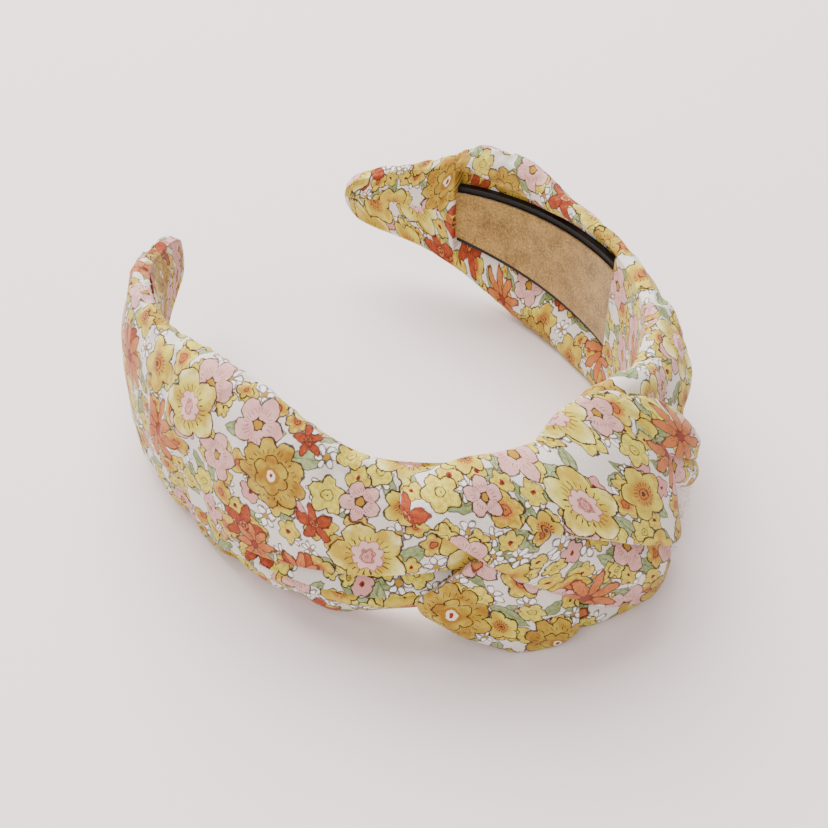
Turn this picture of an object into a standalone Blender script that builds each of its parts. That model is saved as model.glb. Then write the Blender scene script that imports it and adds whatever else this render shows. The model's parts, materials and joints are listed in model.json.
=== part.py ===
"""Knotted fabric headband, lying on its side on a flat surface.

The band is a U in the XY plane: the knot sits at the crown, at -Y, and the two arms run back to
their tips at +Y. +Z is the width of the band. Every piece is placed by three band coordinates:
s, the arc length along the springy core from the middle of the crown (negative on the left arm);
n, the distance outwards from the core's middle layer; and z, the height above the core's mid plane.
Each arm flexes about its own upright axis, which stands on the core at the side of the knot.
The origin is on the surface, under the middle of the whole headband.
"""

import math

import bmesh
import bpy
from mathutils import Matrix, Vector

# The line of the core: three tangent arcs from the crown to each tip (metres, degrees).
CROWN_RADIUS = 0.0585
CROWN_SWEEP = 72
SIDE_RADIUS = 0.101
SIDE_SWEEP = 48
TIP_RADIUS = 0.070
TIP_SWEEP = 25

# The core strip and the lining glued on its inner face.
CORE_THICKNESS = 0.002
CORE_WIDTH = 0.030
CORE_TIP_WIDTH = 0.0075
CORE_TIP_MARGIN = 0.003
TAPER_POWER = 2.8
TIP_BLUNTNESS = 0.25
LINING_THICKNESS = 0.0006
LINING_INSET = 0.0019

# The flexing sections of the strip, and how far each arm stands open from the true U.
FLEX_AT = 0.037
FLEX_GAP = 0.0006
LEFT_SPREAD = 1.8
RIGHT_SPREAD = 0.0

# The fabric round each arm.
ARM_START_GAP = 0.004
ARM_WIDTH = 0.058
ARM_WIDEST_AT = 0.100
PINCH_SIDE = 0.0035
TIP_SIDE = 0.00175
WIDTH_POWER = 1.8
FABRIC_DROP = 0.003
ARM_OUTER_BULGE = 0.0085
TIP_OUTER_BULGE = 0.0026
ARM_INNER_BULGE = 0.0040
TIP_INNER_BULGE = 0.0034
WINDOW_START_GAP = 0.041
WINDOW_TIP_SLEEVE = 0.038
WINDOW_MARGIN = 0.0045
WINDOW_DEPTH = -0.010
REST_FLAT = 0.001
TIP_EDGE = 0.3

# The knot.
SLEEVE_SIDE = 0.003
SLEEVE_OUTER = 0.0042
SLEEVE_INNER = 0.0040
KNOT_SIDE_MARGIN = 0.0015
WRAP_SLOPE = 16
WRAP_HALF_WIDTH = 0.0245
WRAP_END_HALF_WIDTH = 0.010
WRAP_FRONT = 0.0245
WRAP_THICKNESS = 0.017
WRAP_END_THICKNESS = 0.008
WRAP_BLUNTNESS = 0.06
WRAP_CLOSE_POWER = 6
WRAP_ROUND_POWER = 0.8
LOBE_LENGTH = 0.040
LOBE_DEPTH = 0.019
LOBE_HEIGHT = 0.030
LOBE_ALONG = 0.015
LOBE_UP = 0.0145
LOBE_OUT = 0.0115

# Glue beads, between the strip's outer face and the fabric.
GLUE_THICKNESS = 0.0006
TIP_GLUE_LENGTH = 0.014
TIP_GLUE_WIDTH = 0.004
KNOT_GLUE_LENGTH = 0.024
KNOT_GLUE_WIDTH = 0.010

CLEARANCE = 0.0003
CUT_PAST = 0.002

# How finely the sections are drawn: the most between two of them, and the points round a section.
STRIP_STEP = 0.005
FABRIC_STEP = 0.0055
GLUE_STEP = 0.003
PILLOW_POINTS = 24
FOLD_POINTS = 20
WRAP_STEPS = 10
LOBE_STEPS = 14

# Where along a tip's rounding the strip's and the fabric's last sections lie.
STRIP_CLOSING = (0.3, 0.55, 0.75, 0.9, 1.0)
FABRIC_CLOSING = (0.35, 0.65, 0.86, 0.97)

ARCS = [
    (radius, math.radians(sweep))
    for radius, sweep in ((CROWN_RADIUS, CROWN_SWEEP), (SIDE_RADIUS, SIDE_SWEEP), (TIP_RADIUS, TIP_SWEEP))
]
BAND_LENGTH = sum(radius * sweep for radius, sweep in ARCS)
MID_HEIGHT = ARM_WIDTH / 2 + FABRIC_DROP - REST_FLAT
CORE_END = BAND_LENGTH - CORE_TIP_MARGIN
PINCH_WIDTH = CORE_WIDTH + 2 * PINCH_SIDE
TIP_WIDTH = CORE_TIP_WIDTH + 2 * TIP_SIDE
SLEEVE_WIDTH = CORE_WIDTH + 2 * SLEEVE_SIDE
ARM_START = FLEX_AT + ARM_START_GAP
WINDOW_START = ARM_START + WINDOW_START_GAP
WINDOW_END = BAND_LENGTH - WINDOW_TIP_SLEEVE
KNOT_END = FLEX_AT - KNOT_SIDE_MARGIN
CORE_OUTER = CORE_THICKNESS / 2
CORE_INNER = -CORE_THICKNESS / 2
LINING_OUTER = CORE_INNER - CLEARANCE
LINING_INNER = LINING_OUTER - LINING_THICKNESS
GLUE_INNER = CORE_OUTER + CLEARANCE
GLUE_OUTER = GLUE_INNER + GLUE_THICKNESS
FLEX_POINT = Vector(
    (
        CROWN_RADIUS * math.sin(FLEX_AT / CROWN_RADIUS),
        CROWN_RADIUS * (1 - math.cos(FLEX_AT / CROWN_RADIUS)),
    )
)


def clear_scene():
    """Remove whatever the scene holds."""
    for obj in list(bpy.data.objects):
        bpy.data.objects.remove(obj, do_unlink=True)


def finish(name, colour, roughness):
    """A Principled material of one colour."""
    material = bpy.data.materials.new(name)
    material.use_nodes = True
    shader = material.node_tree.nodes["Principled BSDF"]
    shader.inputs["Base Color"].default_value = (*colour, 1.0)
    shader.inputs["Roughness"].default_value = roughness
    shader.inputs["Metallic"].default_value = 0.0
    return material


def band_point(s, n, z):
    """The point at arc length s along the core, n outwards from it and z above the mid plane."""
    side = -1 if s < 0 else 1
    opening = LEFT_SPREAD if s < 0 else RIGHT_SPREAD
    left = abs(s)
    x, y, heading = 0.0, 0.0, 0.0
    for radius, sweep in ARCS:
        turn = min(left / radius, sweep)
        x += radius * (math.sin(heading + turn) - math.sin(heading))
        y += radius * (math.cos(heading) - math.cos(heading + turn))
        heading += turn
        left -= radius * turn
    x += left * math.cos(heading) + n * math.sin(heading)
    y += left * math.sin(heading) - n * math.cos(heading)
    point = Vector((x, y))
    if abs(s) > FLEX_AT:
        turn = Matrix.Rotation(-math.radians(opening), 2)
        point = FLEX_POINT + turn @ (point - FLEX_POINT)
    return Vector((side * point.x, point.y, MID_HEIGHT + z))


def spaced(start, end, step):
    """Evenly spaced arc lengths from start to end, no more than step apart."""
    count = max(2, math.ceil(abs(end - start) / step) + 1)
    return [start + (end - start) * i / (count - 1) for i in range(count)]


def ease(t):
    """A smooth 0 to 1 step."""
    t = min(max(t, 0.0), 1.0)
    return t * t * (3 - 2 * t)


def closed_mesh(name, rings, material):
    """One closed body through a row of rings of points, capped at both ends."""
    shape = bmesh.new()
    rows = [[shape.verts.new(point) for point in ring] for ring in rings]
    for row, following in zip(rows, rows[1:]):
        for i, vert in enumerate(row):
            j = (i + 1) % len(row)
            shape.faces.new((vert, row[j], following[j], following[i]))
    shape.faces.new(rows[0])
    shape.faces.new(rows[-1])
    bmesh.ops.recalc_face_normals(shape, faces=shape.faces)
    mesh = bpy.data.meshes.new(name)
    shape.to_mesh(mesh)
    shape.free()
    mesh.shade_smooth()
    mesh.set_sharp_from_angle(angle=math.radians(40))
    obj = bpy.data.objects.new(name, mesh)
    bpy.context.scene.collection.objects.link(obj)
    mesh.materials.append(material)
    return obj


def swept(name, stations, section, material):
    """A body whose section, a list of (n, z) pairs for each arc length, is carried along the core."""
    rings = [[band_point(s, n, z) for n, z in section(s)] for s in stations]
    return closed_mesh(name, rings, material)


def cut(obj, cutter):
    """Take a hidden cutter out of a piece."""
    cutter.hide_render = True
    cutter.display_type = "WIRE"
    boolean = obj.modifiers.new(cutter.name, "BOOLEAN")
    boolean.operation = "DIFFERENCE"
    boolean.solver = "EXACT"
    boolean.object = cutter


def tapered_width(s):
    """The strip keeps its width at the crown and tapers along the arm."""
    taper = max(0.0, abs(s) - FLEX_AT) / (CORE_END - FLEX_AT)
    return CORE_WIDTH + (CORE_TIP_WIDTH - CORE_WIDTH) * taper**TAPER_POWER


def core_width(s):
    """The tapered strip, with a round end at the tip."""
    from_end = max(0.0, CORE_END - abs(s)) / (CORE_TIP_WIDTH / 2)
    if from_end < 1:
        return tapered_width(s) * (
            TIP_BLUNTNESS + (1 - TIP_BLUNTNESS) * math.sqrt(1 - (1 - from_end) ** 2)
        )
    return tapered_width(s)


def slab(inner, outer, half):
    """A rectangular section between two offsets, half its width each side of the mid plane."""
    return [(inner, -half), (outer, -half), (outer, half), (inner, half)]


def pillow(inner, outer, half, drop=0.0):
    """A boxy rounded section, drop below the mid plane, flattened where it lies on the surface."""
    points = []
    for i in range(PILLOW_POINTS):
        angle = 2 * math.pi * i / PILLOW_POINTS
        out, up = math.cos(angle), math.sin(angle)
        n = math.copysign(math.sqrt(abs(out)), out) * (outer if out > 0 else inner)
        z = math.copysign(math.sqrt(abs(up)), up) * half - drop
        points.append((n, max(z, -MID_HEIGHT)))
    return points


def arm_half_width(s):
    """Half the arm's width: gathered at the knot, widest along the side, narrow at the tip."""
    s = abs(s)
    if s < ARM_WIDEST_AT:
        width = PINCH_WIDTH + (ARM_WIDTH - PINCH_WIDTH) * ease((s - ARM_START) / (ARM_WIDEST_AT - ARM_START))
    else:
        width = ARM_WIDTH + (TIP_WIDTH - ARM_WIDTH) * ((s - ARM_WIDEST_AT) / (BAND_LENGTH - ARM_WIDEST_AT)) ** WIDTH_POWER
    return width / 2


def arm_section(s):
    """The arm's fabric: bulged on the outside, with a thinner fold round the inside of the core."""
    to_tip = ease((abs(s) - ARM_WIDEST_AT) / (WINDOW_END - ARM_WIDEST_AT))
    outer = ARM_OUTER_BULGE + (TIP_OUTER_BULGE - ARM_OUTER_BULGE) * to_tip
    inner = ARM_INNER_BULGE + (TIP_INNER_BULGE - ARM_INNER_BULGE) * to_tip
    sag = math.sin(math.pi * (abs(s) - ARM_START) / (BAND_LENGTH - ARM_START))
    return pillow(inner, outer, arm_half_width(s), FABRIC_DROP * sag)


def channel_section(s):
    """The hollow that the core, its lining and the glue fill, with a clearance all round."""
    in_glue = abs(s) > CORE_END - TIP_GLUE_LENGTH - 2 * CLEARANCE or abs(s) < KNOT_END
    outer = (GLUE_OUTER if in_glue else CORE_OUTER) + CLEARANCE
    return slab(LINING_INNER - CLEARANCE, outer, tapered_width(s) / 2 + CLEARANCE)


def make_strip(name, start, end, inner, outer, inset, material):
    """One length of the core or of its lining."""
    return swept(
        name,
        spaced(start, end, STRIP_STEP) if abs(end) < CORE_END else tip_stations(start, end),
        lambda s: slab(inner, outer, core_width(s) / 2 - inset * min(1.0, core_width(s) / CORE_TIP_WIDTH)),
        material,
    )


def tip_stations(start, end):
    """Stations that close up where the strip's end is rounded."""
    side = math.copysign(1.0, end)
    round_start = CORE_END - CORE_TIP_WIDTH / 2
    return spaced(start, side * round_start, STRIP_STEP) + [
        side * (round_start + CORE_TIP_WIDTH / 2 * t) for t in STRIP_CLOSING
    ]


def make_channel(name, start, end, material):
    """The cutter for the hollow inside the fabric."""
    side = math.copysign(1.0, end)
    glue_start = CORE_END - TIP_GLUE_LENGTH - 2 * CLEARANCE
    if abs(end) < glue_start:
        return swept(name, spaced(start, end, STRIP_STEP), channel_section, material)
    stations = spaced(start, side * glue_start, STRIP_STEP)
    stations += spaced(side * (glue_start + CLEARANCE), side * (CORE_END + CLEARANCE), STRIP_STEP)
    return swept(name, stations, channel_section, material)


def make_arm_fabric(name, side, material):
    """The fabric tube of one arm: closed round the core at the knot and at the tip, open between."""
    round_end = TIP_WIDTH / 2
    stations = spaced(ARM_START, BAND_LENGTH - round_end, FABRIC_STEP)
    rings = [[band_point(side * s, n, z) for n, z in arm_section(s)] for s in stations]
    for t in FABRIC_CLOSING:
        s = BAND_LENGTH - round_end * (1 - t)
        shrink = math.sqrt(1 - t * t)
        ring = pillow(
            TIP_INNER_BULGE * (TIP_EDGE + (1 - TIP_EDGE) * shrink),
            TIP_OUTER_BULGE * (TIP_EDGE + (1 - TIP_EDGE) * shrink),
            arm_half_width(s) * shrink,
        )
        rings.append([band_point(side * s, n, z) for n, z in ring])
    fabric = closed_mesh(name, rings, material)
    channel = make_channel(name + "_channel", side * (ARM_START - CUT_PAST), side * CORE_END, material)
    window = swept(
        name + "_window",
        spaced(side * WINDOW_START, side * WINDOW_END, FABRIC_STEP),
        lambda s: slab(WINDOW_DEPTH, 0.0, tapered_width(s) / 2 + WINDOW_MARGIN),
        material,
    )
    cut(fabric, channel)
    cut(fabric, window)
    return fabric


def make_glue(name, start, end, width, material):
    """A flat bead of glue on the strip's outer face."""
    return swept(name, spaced(start, end, GLUE_STEP), lambda s: slab(GLUE_INNER, GLUE_OUTER, width / 2), material)


def wrap_rings(grow):
    """The knot's main strap: a flattened tube that slopes across the crown, grown by a clearance."""
    slope = math.tan(math.radians(WRAP_SLOPE))
    reach = KNOT_END - WRAP_END_THICKNESS / 2
    rings = []
    for i in range(-WRAP_STEPS, WRAP_STEPS + 1):
        u = math.sin(math.pi / 2 * i / WRAP_STEPS)
        swell = math.cos(math.pi / 2 * u)
        close = math.sqrt(max(WRAP_BLUNTNESS, 1 - abs(u) ** WRAP_CLOSE_POWER))
        half = (WRAP_END_HALF_WIDTH + (WRAP_HALF_WIDTH - WRAP_END_HALF_WIDTH) * swell) * close + grow
        thick = (WRAP_END_THICKNESS + (WRAP_THICKNESS - WRAP_END_THICKNESS) * swell) / 2 * close + grow
        end_out = SLEEVE_OUTER + CLEARANCE + WRAP_END_THICKNESS / 2
        out = end_out + (WRAP_FRONT - WRAP_THICKNESS / 2 - end_out) * swell
        s = u * (reach + grow)
        ring = []
        for k in range(FOLD_POINTS):
            angle = 2 * math.pi * k / FOLD_POINTS
            across = math.cos(angle)
            through = math.sin(angle)
            n = out + math.copysign(abs(through) ** WRAP_ROUND_POWER, through) * thick
            z = -slope * s - FABRIC_DROP + math.copysign(abs(across) ** WRAP_ROUND_POWER, across) * half
            ring.append(band_point(s, n, z))
        rings.append(ring)
    return rings


def lobe_rings(side):
    """One fold of fabric that comes out from under the wrap, flattened where it meets the surface."""
    rings = []
    for i in range(1, LOBE_STEPS):
        u = -math.cos(math.pi * i / LOBE_STEPS)
        size = math.sqrt(1 - u * u)
        ring = []
        for k in range(FOLD_POINTS):
            angle = 2 * math.pi * k / FOLD_POINTS
            n = LOBE_OUT + LOBE_DEPTH / 2 * size * math.cos(angle)
            z = side * LOBE_UP - FABRIC_DROP + LOBE_HEIGHT / 2 * size * math.sin(angle)
            ring.append(band_point(side * LOBE_ALONG + LOBE_LENGTH / 2 * u, n, max(z, -MID_HEIGHT)))
        rings.append(ring)
    return rings


def make_knot(cotton):
    """The sleeve round the core at the crown, the sloping wrap, and the two lobes under it."""
    stations = spaced(-KNOT_END, KNOT_END, FABRIC_STEP)
    sleeve = swept(
        "crown_sleeve",
        stations,
        lambda s: pillow(SLEEVE_INNER, SLEEVE_OUTER, SLEEVE_WIDTH / 2),
        cotton,
    )
    cut(sleeve, make_channel("crown_sleeve_channel", -KNOT_END - CUT_PAST, KNOT_END + CUT_PAST, cotton))
    wrap = closed_mesh("knot_wrap", wrap_rings(0.0), cotton)
    seat = swept(
        "knot_seat",
        spaced(-FLEX_AT, FLEX_AT, FABRIC_STEP),
        lambda s: pillow(SLEEVE_INNER + CLEARANCE, SLEEVE_OUTER + CLEARANCE, SLEEVE_WIDTH / 2 + CLEARANCE),
        cotton,
    )
    cut(wrap, seat)
    around_wrap = closed_mesh("knot_wrap_space", wrap_rings(CLEARANCE), cotton)
    for name, side in (("knot_lower_lobe", -1), ("knot_upper_lobe", 1)):
        lobe = closed_mesh(name, lobe_rings(side), cotton)
        cut(lobe, around_wrap)
        cut(lobe, seat)


def make_arm(word, side, cotton, plastic, suede, glue):
    """One arm: its strip, lining, fabric and tip glue, all carried by an empty on the flex axis."""
    start = FLEX_AT + FLEX_GAP / 2
    pieces = [
        make_strip("core_" + word, side * start, side * CORE_END, CORE_INNER, CORE_OUTER, 0.0, plastic),
        make_strip(
            "lining_" + word, side * start, side * CORE_END, LINING_INNER, LINING_OUTER, LINING_INSET, suede
        ),
        make_arm_fabric(word + "_arm_fabric", side, cotton),
        make_glue(
            word + "_tip_glue",
            side * (CORE_END - TIP_GLUE_LENGTH),
            side * (CORE_END - CORE_TIP_WIDTH / 2),
            TIP_GLUE_WIDTH,
            glue,
        ),
    ]
    axis = bpy.data.objects.new(word + "_flex_axis", None)
    bpy.context.scene.collection.objects.link(axis)
    axis.location = band_point(side * FLEX_AT, 0.0, 0.0)
    bpy.context.view_layer.update()
    for piece in pieces:
        piece.parent = axis
        piece.matrix_parent_inverse = axis.matrix_world.inverted()


def centre_on_origin():
    """Move the whole headband so that the origin lies under the middle of its box."""
    bpy.context.view_layer.update()
    graph = bpy.context.evaluated_depsgraph_get()
    solids = [obj for obj in bpy.data.objects if obj.type == "MESH" and not obj.hide_render]
    corners = []
    for obj in solids:
        solid = obj.evaluated_get(graph)
        corners += [solid.matrix_world @ Vector(corner) for corner in solid.bound_box]
    low = Vector([min(corner[i] for corner in corners) for i in range(3)])
    high = Vector([max(corner[i] for corner in corners) for i in range(3)])
    shift = Vector((-(low.x + high.x) / 2, -(low.y + high.y) / 2, -low.z))
    for obj in bpy.data.objects:
        if obj.parent is None:
            obj.location += shift


def build():
    clear_scene()
    cotton = finish("printed_cotton", (0.72, 0.56, 0.30), 0.85)
    plastic = finish("black_plastic", (0.012, 0.012, 0.013), 0.45)
    suede = finish("tan_lining", (0.42, 0.26, 0.10), 0.92)
    glue = finish("clear_glue", (0.80, 0.76, 0.62), 0.35)
    crown = FLEX_AT - FLEX_GAP / 2
    make_strip("core_crown", -crown, crown, CORE_INNER, CORE_OUTER, 0.0, plastic)
    make_strip("lining_crown", -crown, crown, LINING_INNER, LINING_OUTER, LINING_INSET, suede)
    make_glue("knot_glue", -KNOT_GLUE_LENGTH / 2, KNOT_GLUE_LENGTH / 2, KNOT_GLUE_WIDTH, glue)
    make_knot(cotton)
    for word, side in (("left", -1), ("right", 1)):
        make_arm(word, side, cotton, plastic, suede, glue)
    centre_on_origin()


build()
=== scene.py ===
"""Knotted headband: a sprung plastic strip in a wide tube of printed cotton, knotted at the crown.

The band lies on its side, +Z up, with the knot at -Y and the two tips at +Y. Shapes are given in band
millimetres: s along the strip from the crown (negative on the left arm), n outwards from the strip's
middle, and z above its mid plane. band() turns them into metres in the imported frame's own axes.
"""

import json
import math

import bpy
import numpy as np
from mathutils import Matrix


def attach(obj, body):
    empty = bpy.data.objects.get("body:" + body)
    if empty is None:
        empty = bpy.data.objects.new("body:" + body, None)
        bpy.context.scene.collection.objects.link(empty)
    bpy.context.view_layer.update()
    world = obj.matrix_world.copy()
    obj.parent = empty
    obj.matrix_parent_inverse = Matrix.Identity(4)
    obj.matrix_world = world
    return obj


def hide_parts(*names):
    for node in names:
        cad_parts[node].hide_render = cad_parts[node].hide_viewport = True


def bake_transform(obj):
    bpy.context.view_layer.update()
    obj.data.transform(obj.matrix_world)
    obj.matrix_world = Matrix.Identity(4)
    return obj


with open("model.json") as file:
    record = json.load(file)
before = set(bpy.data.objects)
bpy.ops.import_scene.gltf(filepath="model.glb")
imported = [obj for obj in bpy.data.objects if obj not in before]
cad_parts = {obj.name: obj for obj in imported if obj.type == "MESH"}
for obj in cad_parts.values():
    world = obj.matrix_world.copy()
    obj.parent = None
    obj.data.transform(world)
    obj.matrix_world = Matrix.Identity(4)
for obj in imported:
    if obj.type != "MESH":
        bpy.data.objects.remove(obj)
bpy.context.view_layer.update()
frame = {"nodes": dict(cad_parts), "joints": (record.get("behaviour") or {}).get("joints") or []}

# ------------------------------------------------------------------------------
# The springy strip. A length of black moulded plastic, 2 mm thick and 30 mm wide at the crown, bent
# into three tangent arcs a side. Its three lengths keep their own solids and get a moulded finish.
# ------------------------------------------------------------------------------

MM = 0.001
CROWN_RADIUS = 58.5
ARCS = ((CROWN_RADIUS, 72), (101, 48), (70, 25))
LEFT_SPREAD = math.radians(1.8)
BAND_LENGTH = sum(radius * math.radians(sweep) for radius, sweep in ARCS)
STRIP_HALF, STRIP_TIP_HALF, STRIP_END, TAPER_POWER = 15, 3.75, BAND_LENGTH - 3, 2.8
FLEX_ZONE = 8

pivot = {joint["child"]: np.array(joint["pos_m"]) / MM for joint in frame["joints"]}
HALF_SPAN = (pivot["right_arm"][0] - pivot["left_arm"][0]) / 2
FLEX_ANGLE = math.asin(HALF_SPAN / CROWN_RADIUS)
FLEX_AT = CROWN_RADIUS * FLEX_ANGLE
FLEX_DEPTH = CROWN_RADIUS * (1 - math.cos(FLEX_ANGLE))
CROWN = (pivot["right_arm"] + pivot["left_arm"]) / 2 - (0, FLEX_DEPTH, 0)
FLOOR = -CROWN[2]


def band(s, n, z):
    """Points in metres. Each arc of radius R that s has used by an angle t, at heading h, adds
    R(sin(h+t) - sin h) across and R(cos h - cos(h+t)) back; n is laid off square to the last heading.
    Past the flex the left arm is turned about its pivot by its spread."""
    s, n, z = np.broadcast_arrays(np.asarray(s, float), n, z)
    left = np.abs(s)
    across = np.zeros_like(left)
    back = np.zeros_like(left)
    heading = np.zeros_like(left)
    for radius, sweep in ARCS:
        turn = np.minimum(left / radius, math.radians(sweep))
        across += radius * (np.sin(heading + turn) - np.sin(heading))
        back += radius * (np.cos(heading) - np.cos(heading + turn))
        heading += turn
        left = left - radius * turn
    across += left * np.cos(heading) + n * np.sin(heading)
    back += left * np.sin(heading) - n * np.cos(heading)
    spread = np.where(s < 0, -LEFT_SPREAD, 0) * smooth((np.abs(s) - FLEX_AT) / FLEX_ZONE + 0.5)
    out, up = across - HALF_SPAN, back - FLEX_DEPTH
    across = HALF_SPAN + np.cos(spread) * out - np.sin(spread) * up
    back = FLEX_DEPTH + np.sin(spread) * out + np.cos(spread) * up
    return MM * np.stack([CROWN[0] + np.where(s < 0, -across, across), CROWN[1] + back, CROWN[2] + z], -1)


def smooth(t):
    """An S-curve from 0 to 1, 3t^2 - 2t^3, level outside."""
    t = np.clip(t, 0, 1)
    return t * t * (3 - 2 * t)


def strip_half(s):
    """Half the strip's width: constant at the crown, then falling by a power of the way to its end."""
    taper = np.clip((np.abs(s) - FLEX_AT) / (STRIP_END - FLEX_AT), 0, 1)
    return STRIP_HALF + (STRIP_TIP_HALF - STRIP_HALF) * taper**TAPER_POWER


class Ink:
    """One socket of a material's nodes. Sums, products and comparisons of sockets add Math nodes."""

    def __init__(self, tree, socket=None):
        self.tree = tree
        self.socket = socket

    def node(self, kind, settings=(), links=(), out=0):
        """Any other node: its settings are made first, then the values or links of its sockets."""
        made = self.tree.nodes.new("ShaderNode" + kind)
        for name, value in dict(settings).items():
            if name == "stops":
                ramp = made.color_ramp.elements
                while len(ramp) < len(value):
                    ramp.new(1.0)
                for stop, (place, colour) in zip(ramp, value):
                    stop.position = place
                    stop.color = colour
            else:
                setattr(made, name, value)
        for name, value in dict(links).items():
            if isinstance(value, Ink):
                self.tree.links.new(value.socket, made.inputs[name])
            else:
                made.inputs[name].default_value = value
        return Ink(self.tree, made.outputs[out])

    def math(self, operation, *others, clamp=False):
        settings = {"operation": operation, "use_clamp": clamp}
        return self.node("Math", settings, dict(enumerate((self, *others))))

    def noise(self, scale, detail, roughness=0.5, out=0, **settings):
        """Noise at this place: its value or, with out 1, three values as a colour."""
        links = {"Vector": self, "Scale": scale, "Detail": detail, "Roughness": roughness}
        return self.node("TexNoise", settings, links, out)

    def vector(self, operation, *others, **sockets):
        links = {**dict(enumerate((self, *others))), **sockets}
        return self.node("VectorMath", {"operation": operation}, links)

    def parts(self, kind):
        """The three numbers of this vector or colour."""
        split = self.node("Separate" + kind, (), {0: self}).socket.node
        return [Ink(self.tree, output) for output in split.outputs]

    def __add__(self, other):
        return self.math("ADD", other)

    def __sub__(self, other):
        return self.math("SUBTRACT", other)

    def __mul__(self, other):
        return self.math("MULTIPLY", other)

    def __truediv__(self, other):
        return self.math("DIVIDE", other)

    def __pow__(self, other):
        return self.math("POWER", other)

    def __lt__(self, other):
        return self.math("LESS_THAN", other)

    def __gt__(self, other):
        return self.math("GREATER_THAN", other)

    def __rsub__(self, other):
        return self.node("Math", {"operation": "SUBTRACT"}, {0: other, 1: self})

    def __rtruediv__(self, other):
        return self.node("Math", {"operation": "DIVIDE"}, {0: other, 1: self})

    __radd__ = __add__
    __rmul__ = __mul__

    def tint(self, under, over):
        """The colour under, covered by the colour over where this socket is 1."""
        links = {0: self.math("ADD", 0.0, clamp=True), 6: under, 7: over}
        return self.node("Mix", {"data_type": "RGBA"}, links, out=2)


def linear(red, green, blue):
    """A display colour from 0 to 255 as the shader's linear colour."""
    def one(value):
        value /= 255
        return value / 12.92 if value <= 0.04045 else ((value + 0.055) / 1.055) ** 2.4
    return (one(red), one(green), one(blue), 1.0)


def new_finish(name, roughness, specular=0.5):
    """An empty Principled material: returns it, its shader and an Ink that starts its nodes."""
    finish = bpy.data.materials.new(name)
    finish.use_nodes = True
    shader = finish.node_tree.nodes["Principled BSDF"]
    shader.inputs["Roughness"].default_value = roughness
    shader.inputs["Specular IOR Level"].default_value = specular
    return finish, shader, Ink(finish.node_tree)


def feed(start, shader, **sockets):
    """Link each socket of the shader, named with _ for a space, to an Ink."""
    for name, ink in sockets.items():
        start.tree.links.new(ink.socket, shader.inputs[name.replace("_", " ")])


def moulded_plastic():
    """Black plastic: faint flow marks and a fine satin grain."""
    finish, shader, start = new_finish("black_plastic", 0.5, 0.25)
    place = start.node("TexCoord", out="Object")
    flow = place.noise(60.0, 3.0)
    grain = place.noise(2600.0, 2.0)
    colour = flow.tint(linear(10, 9, 9), linear(22, 20, 19))
    bump = start.node("Bump", (), {"Strength": 0.25, "Distance": 0.0001, "Height": grain})
    feed(start, shader, Base_Color=colour, Roughness=0.44 + flow * 0.2, Normal=bump)
    return finish


def dress(finish, slot, *names):
    """Give CAD nodes one finish. The slot is not used."""
    for node in (frame["nodes"][name] for name in names):
        node.data.materials.clear()
        node.data.materials.append(finish)


dress(moulded_plastic(), "black_plastic", "core_crown", "core_left", "core_right")

# ------------------------------------------------------------------------------
# The lining. A ribbon of tan suede cloth, glued on the strip's inner face and cut a little narrower, so
# that the strip's black edges show on both sides of it. Its nap is brushed in soft patches.
# ------------------------------------------------------------------------------


def brushed_suede():
    """Suede cloth: short fibres in all directions, lighter and darker where the nap lies over."""
    finish, shader, start = new_finish("tan_suede", 0.95, 0.2)
    shader.inputs["Sheen Weight"].default_value = 0.35
    shader.inputs["Sheen Roughness"].default_value = 0.5
    place = start.node("TexCoord", out="Object")
    nap = place.noise(170.0, 4.0)
    fibre = place.noise(1500.0, 3.0, 0.7)
    shades = (linear(100, 74, 30), linear(144, 111, 52), linear(176, 144, 80))
    stops = tuple(zip((0.36, 0.5, 0.64), shades))
    colour = start.node("ValToRGB", {"stops": stops}, {0: nap * 0.35 + fibre * 0.65})
    bump = start.node("Bump", (), {"Strength": 0.5, "Distance": 0.0002, "Height": fibre})
    feed(start, shader, Base_Color=colour, Normal=bump)
    return finish


dress(brushed_suede(), "tan_lining", "lining_crown", "lining_left", "lining_right")

# ------------------------------------------------------------------------------
# The glue. Beads of clear hot-melt that hold the cotton to the strip at the knot and at the two tips,
# pressed flat between them.
# ------------------------------------------------------------------------------


def hot_melt():
    """Hot-melt glue: milky and amber, with a wavy skin."""
    finish, shader, start = new_finish("clear_glue", 0.3)
    place = start.node("TexCoord", out="Object")
    cloud = place.noise(260.0, 3.0)
    colour = cloud.tint(linear(214, 205, 176), linear(235, 231, 212))
    bump = start.node("Bump", (), {"Strength": 0.3, "Distance": 0.0003, "Height": cloud})
    feed(start, shader, Base_Color=colour, Normal=bump)
    return finish


dress(hot_melt(), "clear_glue", "knot_glue", "left_tip_glue", "right_tip_glue")

# ------------------------------------------------------------------------------
# The printed cotton. A light plain weave, printed all over with penned and watercoloured flowers in
# mustard, pink and rust on an off-white ground. All the cloth is cut from it; each piece carries its
# own print coordinates, which are metres measured along its cloth.
# ------------------------------------------------------------------------------

PEN = linear(84, 56, 42)
GROUND = linear(232, 225, 217)
MUSTARD, STRAW, OCHRE = linear(196, 158, 44), linear(227, 220, 114), linear(172, 132, 40)
ROSE, BLUSH, DEEP_ROSE = linear(219, 172, 165), linear(230, 196, 189), linear(176, 112, 104)
RUST, ORANGE, APRICOT = linear(172, 80, 46), linear(200, 128, 66), linear(214, 156, 104)
SAGE, PALE_SAGE = linear(142, 156, 104), linear(190, 198, 160)
FLAT_NOISE = {"noise_dimensions": "2D"}
WEAVE_PITCH = 0.95


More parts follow.
